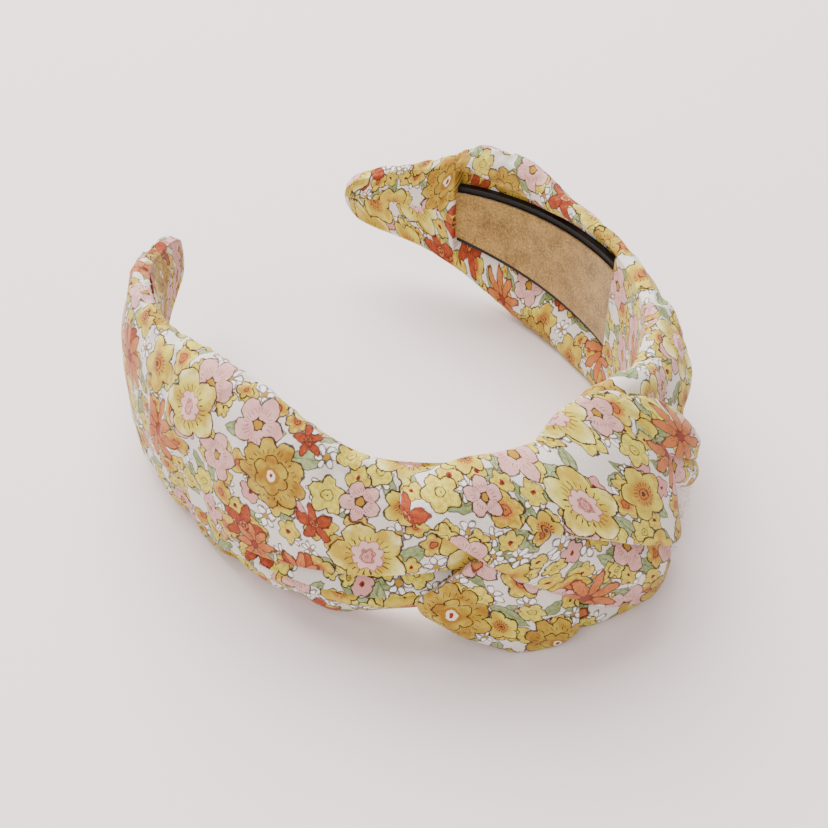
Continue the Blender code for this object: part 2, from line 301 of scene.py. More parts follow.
def scattered(start, place, cell, loose, shift):
    """Flower centres, one to each cell of a loosened lattice: the place measured in mm from the
    nearest, as across, up; the room that it has to its neighbour; and three dice thrown for it."""
    moved = place.vector("MULTIPLY_ADD", (1 / cell,) * 3, shift)
    links = {"Vector": moved, "Scale": 1.0, "Randomness": loose}
    near = {"voronoi_dimensions": "2D", "feature": "F1"}
    centre = start.node("TexVoronoi", near, links, out="Position")
    dice = Ink(start.tree, centre.socket.node.outputs["Color"]).parts("Color")
    room = start.node("TexVoronoi", {**near, "feature": "N_SPHERE_RADIUS"}, links, out="Radius") * cell
    across, up, _ = moved.vector("SUBTRACT", centre).parts("XYZ")
    return across * cell, up * cell, room, dice


class Bloom:
    """One flower's own polar place: distance out as a share of its size, and angle, turned at random."""

    def __init__(self, across, up, size, turn):
        self.size = size
        self.out = (across * across + up * up) ** 0.5 / size
        self.angle = up.math("ARCTAN2", across) + turn * (2 * math.pi)

    def petals(self, count, reach, long, wide):
        """How far a place lies from the nearest petal's rim, in mm, less than 0 inside. The angle is
        folded into one petal's share, and the petal is an ellipse centred at reach."""
        share = 2 * math.pi / count
        fold = (self.angle / share).math("FRACT") * share - share / 2
        lengthways = (self.out * fold.math("COSINE") - reach) / long
        sideways = self.out * fold.math("SINE") / wide
        return ((lengthways * lengthways + sideways * sideways) ** 0.5 - 1) * self.size * wide

    def rays(self, count, start, end, thin):
        """Fine strokes that point outwards between two distances: 1 on them."""
        share = 2 * math.pi / count
        fold = ((self.angle / share).math("FRACT") - 0.5).math("ABSOLUTE") * share
        line = (fold * self.out * self.size) < thin
        return line * (self.out > start) * (self.out < end)

    def ring(self, at, width):
        """A pen line round the flower's middle at a distance."""
        return stroke((self.out - at) * self.size, width)


def stroke(rim, width):
    """A pen line of that width along a rim, with soft sides."""
    return ((width / 2 + 0.08 - rim.math("ABSOLUTE")) / 0.16).math("ADD", 0.0, clamp=True)


def inside(rim, inset=0.0):
    """1 where a rim is passed by more than inset, with a soft edge."""
    return ((rim * -1 - inset) / 0.2).math("ADD", 0.5, clamp=True)


def printed_cotton():
    """The print, back to front: tiny daisies and leaves, small, middling and large flowers. Each is a
    wash of watercolour a little off its pen outline. Over it lie the weave and the cloth's fuzz."""
    finish, shader, start = new_finish("printed_cotton", 0.88, 0.25)
    shader.inputs["Sheen Weight"].default_value = 0.12
    shader.inputs["Sheen Roughness"].default_value = 0.4
    flat = start.node("UVMap", {"uv_map": "print"})
    flat = flat.vector("SCALE", Scale=1 / MM)
    tremble = flat.noise(0.42, 2.0, out=1, **FLAT_NOISE)
    place = tremble.vector("MULTIPLY_ADD", (1.5, 1.5, 0), flat)
    wash = flat.noise(0.22, 3.0, **FLAT_NOISE)
    wash = ((wash - 0.35) * 3.2).math("ADD", 0.0, clamp=True)
    blot = flat.noise(0.9, 2.0, **FLAT_NOISE)
    blot = ((blot - 0.3) * 2.4).math("ADD", 0.0, clamp=True)
    colour = (wash * 0.5).tint(GROUND, linear(233, 226, 219))

    # Leaves, in two scatters: a pointed oval, |y|/w + (x/h)^2 - 1, with a vein and a slipped outline.
    for cell, shift, half, slim in ((9.5, (3.3, 1.7, 0), 3.7, 1.55), (12.5, (8.1, 5.2, 0), 5.2, 2.1)):
        across, up, room, dice = scattered(start, place, cell, 0.85, shift)
        turn = dice[0] * 6.28
        along = across * turn.math("COSINE") + up * turn.math("SINE")
        over = up * turn.math("COSINE") - across * turn.math("SINE")
        leaf = (over.math("ABSOLUTE") / slim + (along / half) ** 2.0 - 1) * slim * 0.8
        chosen = dice[1] < 0.8
        green = (blot * 0.6 + dice[2] * 0.4).tint(SAGE, PALE_SAGE)
        colour = (inside(leaf, 0.12) * chosen).tint(colour, green)
        vein = (over.math("ABSOLUTE") < 0.13) * (along.math("ABSOLUTE") < half * 0.75)
        pen = stroke(leaf, 0.3).math("MAXIMUM", vein * 0.7) * chosen
        colour = (pen * 0.85).tint(colour, linear(112, 112, 76))

    # Tiny daisies: only penned, white inside, with a mustard eye.
    across, up, room, dice = scattered(start, place, 8.2, 0.75, (1.4, 9.3, 0))
    daisy = Bloom(across, up, room.math("MINIMUM", 3.1) * 0.98, dice[0])
    chosen = dice[1] < 0.7
    rim = daisy.petals(6, 0.62, 0.38, 0.24)
    colour = (inside(rim) * chosen).tint(colour, linear(246, 243, 238))
    colour = (stroke(rim, 0.24) * chosen * 0.8).tint(colour, PEN)
    colour = ((daisy.out < 0.22) * chosen).tint(colour, MUSTARD)

    # Buttons: the smallest coloured flowers, in straw, mustard or rose, with a dark eye.
    across, up, room, dice = scattered(start, place, 7.4, 0.7, (4.7, 0.6, 0))
    button = Bloom(across, up, room.math("MINIMUM", 3.3) * 0.98, dice[0])
    chosen = dice[1] < 0.62
    rim = button.petals(5, 0.52, 0.48, 0.42)
    petal = (dice[2] > 0.76).tint((blot * 0.6 + 0.3).tint(MUSTARD, STRAW), ROSE)
    colour = (inside(rim, 0.06) * chosen).tint(colour, petal)
    colour = ((button.out < 0.2) * chosen).tint(colour, RUST)
    colour = (stroke(rim, 0.26) * chosen * 0.85).tint(colour, PEN)

    # Small flowers: five round petals in mustard or straw, with an orange heart and a ring.
    across, up, room, dice = scattered(start, place, 10.5, 0.7, (5.5, 2.6, 0))
    bud = Bloom(across, up, room.math("MINIMUM", 4.8) * 0.98, dice[0])
    chosen = dice[1] < 0.9
    rim = bud.petals(5, 0.5, 0.5, 0.42)
    petal = (blot * 0.7 + dice[2] * 0.5).tint(MUSTARD, STRAW)
    heart = (0.62 - bud.out).math("MULTIPLY", 2.6, clamp=True)
    petal = (heart * (dice[2] < 0.6)).tint(petal, ORANGE)
    colour = (inside(rim, 0.1) * chosen).tint(colour, petal)
    ring = bud.ring(0.26, 0.22)
    colour = (stroke(rim, 0.3).math("MAXIMUM", ring) * chosen * 0.9).tint(colour, PEN)

    # Middling flowers: pink with parted petals, mustard with an orange heart, or rust with points.
    across, up, room, dice = scattered(start, place, 16.0, 0.6, (2.2, 7.7, 0))
    bloom = Bloom(across, up, room.math("MINIMUM", 7.6) * 0.98, dice[0])
    pink, gold = dice[1] < 0.42, (dice[1] > 0.42) * (dice[1] < 0.76)
    rust = (dice[1] > 0.76) * (dice[1] < 0.96)
    rim = bloom.petals(5, 0.6, 0.42, 0.4)
    wet = (blot * 0.5 + wash * 0.5).tint(ROSE, BLUSH)
    colour = (inside(rim, 0.05) * pink).tint(colour, wet)
    veins = bloom.rays(25, 0.42, 0.62, 0.1)
    eye = (bloom.out < 0.17)
    pen = stroke(rim, 0.32).math("MAXIMUM", veins * 0.5)
    colour = (pen * pink * 0.85).tint(colour, PEN)
    colour = (eye * pink).tint(colour, MUSTARD)
    colour = (bloom.ring(0.19, 0.25) * pink * 0.8).tint(colour, PEN)
    rim = bloom.petals(5, 0.52, 0.48, 0.4)
    petal = (wash * 0.6 + bloom.out * 0.4).tint(MUSTARD, STRAW)
    petal = ((0.55 - bloom.out).math("MULTIPLY", 3.0, clamp=True) * (0.5 + blot * 0.5)).tint(petal, ORANGE)
    colour = (inside(rim, 0.1) * gold).tint(colour, petal)
    ring = bloom.ring(0.2, 0.25).math("MAXIMUM", bloom.rays(18, 0.3, 0.42, 0.1))
    colour = (stroke(rim, 0.34).math("MAXIMUM", ring) * gold * 0.9).tint(colour, PEN)
    rim = bloom.petals(5, 0.54, 0.46, 0.25)
    petal = (blot * 0.6).tint(RUST, ORANGE)
    colour = (inside(rim, 0.05) * rust).tint(colour, petal)
    colour = ((bloom.out < 0.2) * rust).tint(colour, APRICOT)
    ring = bloom.ring(0.22, 0.22).math("MAXIMUM", bloom.rays(15, 0.24, 0.36, 0.1))
    colour = (stroke(rim, 0.3).math("MAXIMUM", ring) * rust * 0.85).tint(colour, linear(120, 52, 34))

    # Large flowers: straw with a pink rosette, doubled mustard, or a long-petalled apricot daisy.
    across, up, room, dice = scattered(start, place, 27.0, 0.55, (6.4, 3.1, 0))
    bloom = Bloom(across, up, room.math("MINIMUM", 9.6) * 0.97, dice[0])
    straw, doubled = dice[1] < 0.36, (dice[1] > 0.36) * (dice[1] < 0.68)
    daisy = (dice[1] > 0.68) * (dice[1] < 0.94)
    rim = bloom.petals(5, 0.57, 0.43, 0.4)
    petal = (bloom.out * 0.5 + wash * 0.6).tint(MUSTARD, STRAW)
    petal = ((bloom.out - 0.62) * 2.6 * wash).tint(petal, linear(246, 238, 208))
    colour = (inside(rim, 0.12) * straw).tint(colour, petal)
    rosette = bloom.petals(8, 0.28, 0.14, 0.13)
    middle = inside((bloom.out - 0.34) * bloom.size)
    pen = stroke(rim, 0.36).math("MAXIMUM", bloom.rays(22, 0.42, 0.58, 0.12))
    colour = (pen * straw * 0.9).tint(colour, PEN)
    colour = (middle.math("MAXIMUM", inside(rosette)) * straw).tint(colour, BLUSH)
    inner = bloom.petals(6, 0.12, 0.08, 0.08)
    colour = (inside(inner).math("MAXIMUM", bloom.out < 0.13) * straw).tint(colour, ROSE)
    pen = stroke(rosette, 0.26).math("MAXIMUM", stroke(inner, 0.22))
    colour = (pen * straw * 0.85).tint(colour, DEEP_ROSE)
    rim = bloom.petals(9, 0.7, 0.3, 0.26)
    whole = inside(rim, 0.1).math("MAXIMUM", inside((bloom.out - 0.72) * bloom.size))
    petal = (blot * 0.5 + bloom.out * 0.3).tint(OCHRE, MUSTARD)
    petal = ((bloom.out > 0.25) * wash * 0.5).tint(petal, STRAW)
    colour = (whole * doubled).tint(colour, petal)
    edge = stroke(rim, 0.34) * (bloom.out > 0.74)
    inner = bloom.petals(6, 0.34, 0.2, 0.19)
    edge = edge.math("MAXIMUM", stroke(inner, 0.3) * (bloom.out > 0.36))
    colour = (edge.math("MAXIMUM", bloom.rays(27, 0.6, 0.72, 0.1)) * doubled * 0.9).tint(colour, PEN)
    colour = ((bloom.out < 0.15) * doubled).tint(colour, linear(240, 228, 208))
    colour = ((bloom.out < 0.07) * doubled).tint(colour, linear(168, 82, 56))
    rim = bloom.petals(8, 0.57, 0.43, 0.165)
    petal = (blot * 0.5 + bloom.out * 0.5 - 0.1).tint(ORANGE, APRICOT)
    colour = (inside(rim, 0.05) * daisy).tint(colour, petal)
    pen = stroke(rim, 0.3).math("MAXIMUM", bloom.rays(40, 0.3, 0.55, 0.06) * inside(rim) * 0.6)
    colour = (pen * daisy * 0.9).tint(colour, linear(128, 70, 44))
    colour = ((bloom.out < 0.13) * daisy).tint(colour, RUST)

    # Inks sink into the cloth: the deep ones deepen, the pale ground hardly.
    colour = start.node("Gamma", (), {"Color": colour, "Gamma": 1.45})
    colour = start.node("HueSaturation", (), {"Saturation": 0.97, "Color": colour})

    # The weave: warp and weft at 45 degrees to the tube, and a faint slub.
    u, v, _ = flat.parts("XYZ")
    warp = ((u + v) * (2 * math.pi / WEAVE_PITCH)).math("SINE")
    weft = ((u - v) * (2 * math.pi / WEAVE_PITCH)).math("SINE")
    weave = warp * weft * 0.5 + 0.5
    slub = flat.noise(2.6, 3.0, **FLAT_NOISE)
    shade = 0.74 + weave * 0.36 + (slub - 0.5) * 0.24
    colour = colour.vector("SCALE", Scale=shade)
    crumple = flat.noise(0.16, 4.0, **FLAT_NOISE)
    height = weave * 0.06 + slub * 0.1 + crumple * 0.9
    bump = start.node("Bump", (), {"Strength": 0.55, "Distance": 0.0008, "Height": height})
    feed(start, shader, Base_Color=colour, Normal=bump)
    return finish


cotton = printed_cotton()

# ------------------------------------------------------------------------------
# The two arms. Each is a tube of the cotton, pressed flat outside the strip and glued to it. Towards
# the knot and at the tip it closes round the strip; between them it stands off, and its upper edge
# rolls in over the strip. At the knot it is gathered, and the left one has two deep pleats.
# ------------------------------------------------------------------------------

WINDOW = (82, BAND_LENGTH - 38)
ARM_START, ARM_ROWS, SPAN_COLUMNS = 22, 250, 12
OUTER_MIDDLE = 15
HEM_STEP = 0.25
SETTLE_ROWS, SETTLE_STRIDE, SETTLE_FRAMES, SETTLE_LIMIT = 76, 3, 16, 0.9
SLACK = {
    "quality": 6,
    "mass": 0.05,
    "tension_stiffness": 12,
    "compression_stiffness": 12,
    "shear_stiffness": 4,
    "bending_stiffness": 0.02,
    "vertex_group_mass": "held",
    "pin_stiffness": 1,
    "shrink_min": -0.04,
}
GRAVITY_SHARE = 0.15
LATTICE = 97
FLOOR_GAP = 0.15
BLEND_FROM, BLEND_TO = 25, 50
ARM_PRINT_TURN, ARM_PRINT_SHIFT = 0.35, (0.4, 0.2)
LENGTHS = (20, 39, 49, 61, 74, 90, 110, 128, 140, 150, 160, 170, 180, BAND_LENGTH)
PLEAT_LENGTHS = (20, 27, 33, 41, 51, 60, 72, 84, 95)
# Each arm's upper and lower edge at LENGTHS, its two pleats' lips at PLEAT_LENGTHS, where each pleat
# ends and over what length it fades, and between which lengths the rolled edge comes and goes.
ARM_SHAPES = {
    "left": {
        "side": -1,
        "top": (16.4, 16.4, 18.8, 25.4, 29, 29, 25.6, 23.6, 21.8, 19.2, 15.6, 11.5, 8.5, 5.5),
        "bottom": (-23, -26, -28.5, -30.8, -31, -31, -31, -31, -27, -21.5, -17.5, -13.5, -10.5, -5.5),
        "lips": (
            (-6, -6.2, -6.3, -6.6, -7.4, -9.2, -12, -14, -15),
            (-12, -12.6, -13, -13.3, -13.2, -14.4, -17, -19, -20),
        ),
        "fades": ((96, 34), (80, 26)),
        "roll": ((56, 80), (96, 122)),
        "seed": 3,
    },
    "right": {
        "side": 1,
        "top": (19, 22, 21.5, 21, 21, 22, 24, 27.5, 26.5, 21, 16, 12.5, 8.5, 5.5),
        "bottom": (-24, -27, -29, -30.8, -31, -31, -31, -29, -24.5, -20, -16.8, -14, -11, -5.5),
        "lips": ((4, 4, 4, 4, 3, 2, 0, -2, -3), (-8, -8, -8, -8, -9, -10, -11, -12, -12)),
        "fades": ((84, 34), (60, 30)),
        "roll": ((86, 116), (131, 157)),
        "seed": 8,
    },
}
# How far the outer face stands off the strip at LENGTHS.
OUTER_BULGE = (7.5, 9, 9.6, 9.6, 9.2, 8.8, 8.4, 8.4, 7.8, 6.2, 4.6, 3.7, 3.1, 2.6)


def through(places, values, at):
    """A cubic curve through the values at their places, whose slope at each is its neighbours' chord's."""
    places, values, at = np.asarray(places, float), np.asarray(values, float), np.asarray(at, float)
    slopes = np.gradient(values, places, axis=0)
    i = np.clip(np.searchsorted(places, at) - 1, 0, len(places) - 2)
    width = places[i + 1] - places[i]
    t = np.clip((at - places[i]) / width, 0, 1)
    t, width = (np.reshape(x, x.shape + (1,) * (values.ndim - 1)) for x in (t, width))
    ends = values[i] * (2 * t**3 - 3 * t**2 + 1) + values[i + 1] * (3 * t**2 - 2 * t**3)
    return ends + width * (slopes[i] * (t**3 - 2 * t**2 + t) + slopes[i + 1] * (t**3 - t**2))


def rounded(corners, columns):
    """Closed curves through each row of corners (rows, corners, axes): a Catmull-Rom cubic in each span."""
    before, after, beyond = (np.roll(corners, step, axis=1)[:, :, None] for step in (1, -1, -2))
    here = corners[:, :, None]
    t = (np.arange(columns) / columns)[:, None]
    curve = 2 * here + (after - before) * t + (2 * before - 5 * here + 4 * after - beyond) * t**2
    curve += (3 * here - before - 3 * after + beyond) * t**3
    return curve.reshape(len(corners), -1, corners.shape[-1]) / 2


def ripple(seed, u, v):
    """Smooth noise from -1 to 1: a lattice of seeded random values, joined by S-curves."""
    lattice = np.random.default_rng(seed).uniform(-1, 1, (LATTICE, LATTICE))
    i, j = np.floor(u).astype(int), np.floor(v).astype(int)
    fu, fv = smooth(u - i), smooth(v - j)

    def row(i):
        return lattice[i % LATTICE, j % LATTICE] * (1 - fv) + lattice[i % LATTICE, (j + 1) % LATTICE] * fv

    return row(i) * (1 - fu) + row(i + 1) * fu


def placed(name, data):
    """A new object in the scene."""
    piece = bpy.data.objects.new(name, data)
    bpy.context.scene.collection.objects.link(piece)
    return piece


def ring_quads(index):
    """The faces between neighbouring rows of a grid of points, whose columns close on themselves."""
    after = np.roll(index, -1, axis=-1)
    sides = (index[..., :-1, :], after[..., :-1, :], after[..., 1:, :], index[..., 1:, :])
    return np.stack(sides, -1).reshape(-1, 4)


def settle(grid, held):
    """The cloth's own slack. A coarser copy of the grid is simulated as light cotton cut a little too
    large for its place, and held where it is glued, sewn or folded. The moves that it makes, up to a
    limit, are laid back on the fine grid, which stays above the table."""
    rows = np.unique(np.linspace(0, len(grid) - 1, SETTLE_ROWS).astype(int))
    coarse = grid[rows][:, ::SETTLE_STRIDE]
    quads = ring_quads(np.arange(coarse[..., 0].size).reshape(coarse.shape[:2]))
    mesh = bpy.data.meshes.new("settling")
    mesh.from_pydata(coarse.reshape(-1, 3).tolist(), [], quads.tolist())
    model = placed("settling", mesh)
    group = model.vertex_groups.new(name="held")
    for point, weight in enumerate(held[rows][:, ::SETTLE_STRIDE].ravel().tolist()):
        group.add([point], weight, "REPLACE")
    slack = model.modifiers.new("slack", "CLOTH")
    for name, value in SLACK.items():
        setattr(slack.settings, name, value)
    slack.settings.effector_weights.gravity = GRAVITY_SHARE
    slack.collision_settings.use_collision = False
    slack.point_cache.frame_end = SETTLE_FRAMES
    scene = bpy.context.scene
    for number in range(1, SETTLE_FRAMES + 1):
        scene.frame_set(number)
    settled = model.evaluated_get(bpy.context.evaluated_depsgraph_get())
    points = np.empty(coarse.size, np.float32)
    settled.data.vertices.foreach_get("co", points)
    scene.frame_set(1)
    bpy.data.objects.remove(model)
    bpy.data.meshes.remove(mesh)
    move = points.reshape(coarse.shape) - coarse
    reach = np.linalg.norm(move, axis=-1, keepdims=True)
    move = move * SETTLE_LIMIT * MM * np.tanh(reach / (SETTLE_LIMIT * MM)) / np.maximum(reach, 1e-9)
    grid = grid + through(rows, rounded(move, SETTLE_STRIDE), np.arange(len(grid)))
    grid[..., 2] = np.maximum(grid[..., 2], 0.1 * MM)
    return grid


def cloth(name, grid, middle, turn=0.0, shift=(0.0, 0.0)):
    """A closed cloth surface through a grid of points (rows, columns, 3), joined round its columns and
    closed at each end by a fan. The print's coordinates are the length along column middle, and the
    length round each row from that column, turned and shifted."""
    rows, columns = grid.shape[:2]
    index = np.arange(rows * columns).reshape(rows, columns)
    closed = np.concatenate([grid, grid[:, :1]], 1)
    round_row = np.cumsum(np.linalg.norm(np.diff(closed, axis=1), axis=2), axis=1)
    round_row = np.concatenate([np.zeros((rows, 1)), round_row], 1)
    round_row -= round_row[:, [middle]]
    down_row = np.cumsum(np.linalg.norm(np.diff(grid[:, middle], axis=0), axis=1))
    down_row = np.concatenate([[0], down_row])[:, None] + np.zeros((1, columns + 1))
    cos, sin = math.cos(turn), math.sin(turn)
    flat = np.stack([down_row * cos - round_row * sin, down_row * sin + round_row * cos], -1) + shift
    quads = ring_quads(index)
    corners = np.stack([flat[:-1, :-1], flat[:-1, 1:], flat[1:, 1:], flat[1:, :-1]], -2).reshape(-1, 2)
    fans, fan_corners = [], []
    for pole, row, way in ((rows * columns, 0, -1), (rows * columns + 1, -1, 1)):
        pair = (index[row], np.roll(index[row], -1))[::way]
        fans.append(np.stack([np.full(columns, pole), *pair], -1))
        ends = (flat[row, :-1], flat[row, 1:])[::way]
        at_pole = np.broadcast_to(flat[row].mean(0), (columns, 2))
        fan_corners.append(np.stack([at_pole, *ends], -2).reshape(-1, 2))
    points = np.concatenate([grid.reshape(-1, 3), grid[:1].mean(1), grid[-1:].mean(1)])
    faces = quads.tolist() + np.concatenate(fans).tolist()
    mesh = bpy.data.meshes.new(name)
    mesh.from_pydata(points.tolist(), [], faces)
    layer = mesh.uv_layers.new(name="print")
    layer.data.foreach_set("uv", np.concatenate([corners, *fan_corners]).astype(np.float32).ravel())
    a, b, c = (points[quads[:, k]] for k in range(3))
    if np.einsum("ij,ij->i", a, np.cross(b, c)).sum() < 0:
        mesh.flip_normals()
    mesh.shade_smooth()
    mesh.materials.append(cotton)
    return placed(name, mesh)


def arm_stations():
    """Arc lengths along an arm, with extra ones close on both sides of each hem."""
    even = np.linspace(ARM_START, BAND_LENGTH, ARM_ROWS)
    steps = HEM_STEP * np.array([-8, -5, -3, -2, -1.4, -1, -0.6, -0.3, 0, 0.3, 0.6, 1, 1.4, 2, 3, 5, 8])
    near = np.concatenate([hem + steps for hem in WINDOW])
    far = np.min(np.abs(even[:, None] - near), axis=1) > HEM_STEP
    return np.sort(np.concatenate([even[far], near]))


def pleat_lip(shape, number, s):
    """A pleat's lip along the arm: its height, held past its known part, and its strength from 0 to 1."""
    height = through(PLEAT_LENGTHS, shape["lips"][number], np.clip(s, PLEAT_LENGTHS[0], PLEAT_LENGTHS[-1]))
    until, reach = shape["fades"][number]
    return height, smooth((until - s) / reach)


def arm_grid(shape):
    """The arm's cloth: 22 corners round the strip at each arc length, carried along it. Its outer face
    stands off by bulge * (1 - |h|^2.6)^0.6, h being the height from -1 to 1. At a pleat the face goes out
    to the lip, back up behind it, and out again below. Inside the window the corners behind the strip
    go to its outer face, and the upper edge rolls in."""
    s = arm_stations()
    end = BAND_LENGTH - s
    cap = np.sqrt(1 - (1 - np.clip(end / 5.5, 0, 1)) ** 2)
    top, bottom = through(LENGTHS, shape["top"], s), through(LENGTHS, shape["bottom"], s)
    bulge, half = through(LENGTHS, OUTER_BULGE, s), strip_half(s)
    open_ = smooth((s - WINDOW[0]) / HEM_STEP / 2 + 0.5) * smooth((WINDOW[1] - s) / HEM_STEP / 2 + 0.5)
    (begin, full), (fall, finish) = shape["roll"]
    roll = smooth((s - begin) / (full - begin)) * smooth((finish - s) / (finish - fall))
    hem = sum(np.exp(-(((s - at) * way + 0.9) / 0.9) ** 2) for at, way in zip(WINDOW, (1, -1)))
    behind = -3.1 - 0.35 * hem + (4.6 + 0.35 * hem) * open_
    low, high = -half - bottom, top - half
    ones = np.ones_like(s)

    def face(height):
        share = np.abs(2 * (height - (top + bottom) / 2) / (top - bottom))
        return bulge * (1 - np.clip(share, 0, 1) ** 2.6) ** 0.6

    (upper, deep), (lower, shallow) = (pleat_lip(shape, number, s) for number in (0, 1))
    squeeze = np.clip((top - bottom) / 50, 0.2, 1)
    upper, lower = (np.clip(lip, bottom + 0.2 * (top - bottom), top) for lip in (upper, lower))
    upper = np.maximum(upper, lower + 4 * squeeze)
    foot = lower - (lower - bottom) * 0.34
    upper_face, lower_face = face(upper) + 1.2 * deep, face(lower) + 1.9 * shallow
    between = (upper + lower) / 2
    corners = [
        (behind, 0 * ones),
        (behind, -0.6 * half),
        (behind, -half - 0.3 * np.minimum(1, low / 6)),
        (-2.9 + 3.1 * open_, -half - 0.16 * low),
        (-2.6 * ones, -half - 0.5 * low),
        (-2.7 * ones, -half - 0.85 * low),
        (0.4 * ones, bottom),
        (0.55 * bulge, bottom + 0.05 * (top - bottom)),
        (face(foot) + 1.1 * shallow, foot - 1.5 * squeeze),
        (lower_face - 0.7 * shallow, lower - squeeze * (1.2 + 1.4 * shallow)),
        (lower_face - 5 * shallow, lower - 0.4 * squeeze + 1.8 * shallow),
        (lower_face, lower + 0.4 * squeeze * (1 - shallow)),
        (face(between) + 0.5 * deep * shallow - 0.5 * deep * (1 - shallow), between - 1.3 * deep),
        (upper_face - 6.2 * deep, upper - 0.4 * squeeze + 2.2 * deep),
        (upper_face, upper + 0.4 * squeeze * (1 - deep)),
        (face(upper + 0.4 * (top - upper)), upper + 0.4 * (top - upper)),
        (face(upper + 0.72 * (top - upper)), upper + 0.72 * (top - upper)),
        (0.5 * bulge - roll, top - 0.07 * (top - bottom)),
        (0.4 - 2.2 * roll, top),
        (-2.6 - 2.6 * roll, half + 0.8 * high - 0.2 * roll),
        (-2.7 + 0.9 * (1 - roll) * open_ - 1.5 * roll, half + (0.58 - 0.24 * roll) * high),
        (-2.9 + (4.2 - 0.8 * roll) * open_, half + (0.3 - 0.18 * roll) * high),
    ]
    corners = np.stack([np.stack(corner, -1) for corner in corners], 1)
    section = rounded(corners, SPAN_COLUMNS)
    n, z = section[:, :, 0], section[:, :, 1]
    column = np.arange(n.shape[1]) / SPAN_COLUMNS
    outside = smooth((column - 6.2) / 0.8) * smooth((17.8 - column) / 0.8)
    s = s[:, None] + 0 * n
    seed = shape["seed"]
    inner = 1 - smooth((column - 5) / 1.5) * smooth((19 - column) / 1.5)
    gather = 0.8 * smooth((62 - s) / 34) + 0.35 * smooth((s - 136) / 12) * smooth((BAND_LENGTH - s) / 14)
    waves = ripple(seed, z / 7 + s / 60, s / 26) * gather
    waves += 0.5 * ripple(seed + 1, z / 16, s / 13) + 0.22 * ripple(seed + 2, z / 8, s / 6)
    n = n + waves * (outside + 0.25 * inner * smooth((np.abs(z) - half[:, None] - 1) / 2))
    z = z + 0.35 * ripple(seed + 3, s / 9, column * 0.4) * smooth((end[:, None] - 3) / 10)
    middle_n = (section[:, :, 0].max(1) + section[:, :, 0].min(1))[:, None] / 2
    cap = cap[:, None]
    n = middle_n + (n - middle_n) * (0.25 + 0.75 * cap)
    z = z * np.maximum(cap, 0.02)
    z = np.maximum(z, FLOOR + FLOOR_GAP + 0.05 * np.sin(column * 9))
    glued = 1 - smooth((column - 5.4) / 0.8) * smooth((18.8 - column) / 0.8)
    pleated = np.maximum(deep, shallow)[:, None]
    folded = smooth((column - 7.6) / 0.6) * smooth((15.2 - column) / 0.8) * pleated
    ends = 1 - smooth((s - 42) / 16) * smooth((end[:, None] - 9) / 8)
    held = np.clip(np.maximum(np.maximum(glued, ends), folded), 0.003, 1)
    return settle(band(shape["side"] * s, n, z), held)


def layer_area(piece):
    """The area of one layer of a closed flat tube, in square metres."""
    return sum(face.area for face in piece.data.polygons) / 2


for word, shape in ARM_SHAPES.items():
    turn = ARM_PRINT_TURN * shape["side"]
    arm = cloth(word + "_arm_cloth", arm_grid(shape), OUTER_MIDDLE * SPAN_COLUMNS, turn, ARM_PRINT_SHIFT)
    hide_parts(word + "_arm_fabric")
    start_at, end_at = (band(shape["side"] * at, 0, 0) for at in (BLEND_FROM, BLEND_TO))
    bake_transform(arm)
    length = (BAND_LENGTH - ARM_START) * MM
    layer_area(arm) / length

# ------------------------------------------------------------------------------
# The knot. The left tube ends in a lobe that comes out low, the right tube is drawn across the front as
# one broad panel with a pleat, and what is left of it turns out as a second lobe at the upper right.
# Each fold is a flattened strap of the cotton, sewn and glued to the sleeve behind it.
# ------------------------------------------------------------------------------

KNOT_ROWS, KNOT_SPAN_COLUMNS, KNOT_MIDDLE = 150, 20, 5
